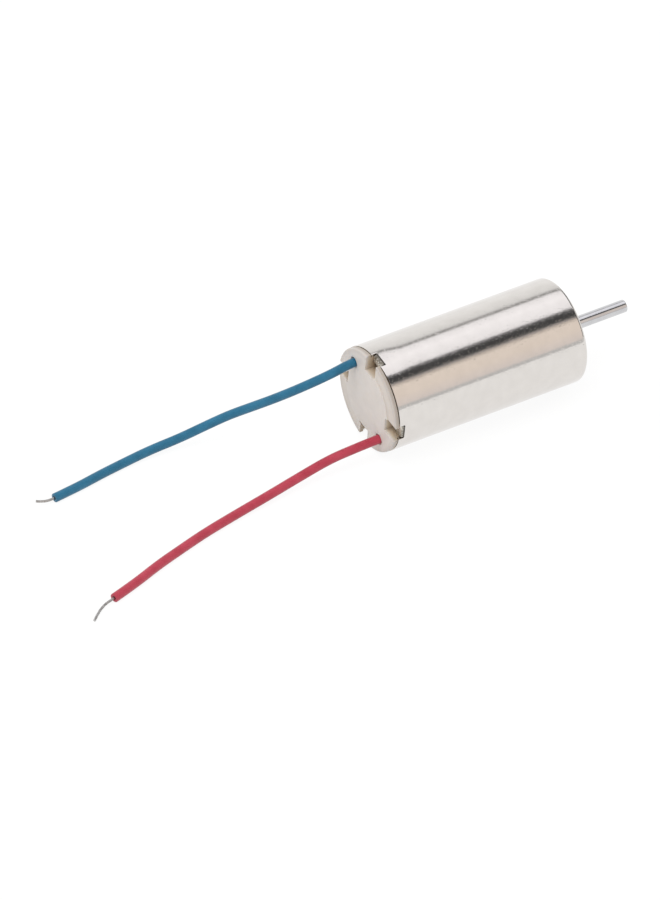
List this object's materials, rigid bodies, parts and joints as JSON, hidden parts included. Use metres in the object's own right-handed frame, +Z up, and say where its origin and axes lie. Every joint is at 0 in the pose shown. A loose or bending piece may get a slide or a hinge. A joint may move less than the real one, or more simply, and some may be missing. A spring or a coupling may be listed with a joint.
{
  "type": "electric motor",
  "caption": "Small coreless DC motor: plated drawn can, white rear cap with crimp notches, plain output shaft and two stripped leads.",
  "frame": {"origin": "centre of the can's front face on the shaft axis, where the output shaft begins", "axes": "+X along the shaft, out of the can; +Z up, with the can lying on its side on a surface at z = -5 mm; +Y completes the frame"},
  "size_m": [0.0605, 0.0182, 0.01],
  "materials": {
    "plated_can": "nickel-plated drawn steel, near-mirror with fine pits",
    "shaft_steel": "ground steel",
    "cap_plastic": "cream moulded plastic",
    "blue_insulation": "blue wire insulation",
    "red_insulation": "red wire insulation",
    "tinned_copper": "tinned copper and solder",
    "brass": "turned brass",
    "sintered_bronze": "oil-soaked sintered bronze",
    "magnet": "nickel-plated rare-earth magnet",
    "spring_alloy": "copper alloy strip",
    "winding": "enamelled copper wire",
    "band": "resin-soaked thread",
    "hub_resin": "black moulded resin"
  },
  "bodies": {
    "stator": {"motor_can": "plated_can", "bearing_sleeve": "brass", "front_bearing": "sintered_bronze", "rear_bearing": "sintered_bronze", "magnet": "magnet", "end_cap": "cap_plastic", "thrust_pad": "shaft_steel", "brush_holder": "cap_plastic", "brush_blue": "spring_alloy", "brush_red": "spring_alloy", "terminal_blue": "spring_alloy", "terminal_red": "spring_alloy", "solder_joint_blue": "tinned_copper", "solder_joint_red": "tinned_copper", "conductor_blue": "tinned_copper", "conductor_red": "tinned_copper", "blue_lead": "blue_insulation", "red_lead": "red_insulation", "blue_lead_tip": "tinned_copper", "red_lead_tip": "tinned_copper"},
    "rotor": {"shaft": "shaft_steel", "thrust_washer": "shaft_steel", "coil_hub": "hub_resin", "coil": "winding", "coil_band": "band", "commutator_core": "hub_resin", "commutator_segment_1": "spring_alloy", "commutator_segment_2": "spring_alloy", "commutator_segment_3": "spring_alloy", "tap_wire_1": "winding", "tap_wire_2": "winding", "tap_wire_3": "winding"}
  },
  "joints": [
    {"name": "rotor_spin", "type": "hinge", "parent": "stator", "child": "rotor", "pos_m": [0, 0, 0], "axis": [1, 0, 0], "continuous": true}
  ]
}
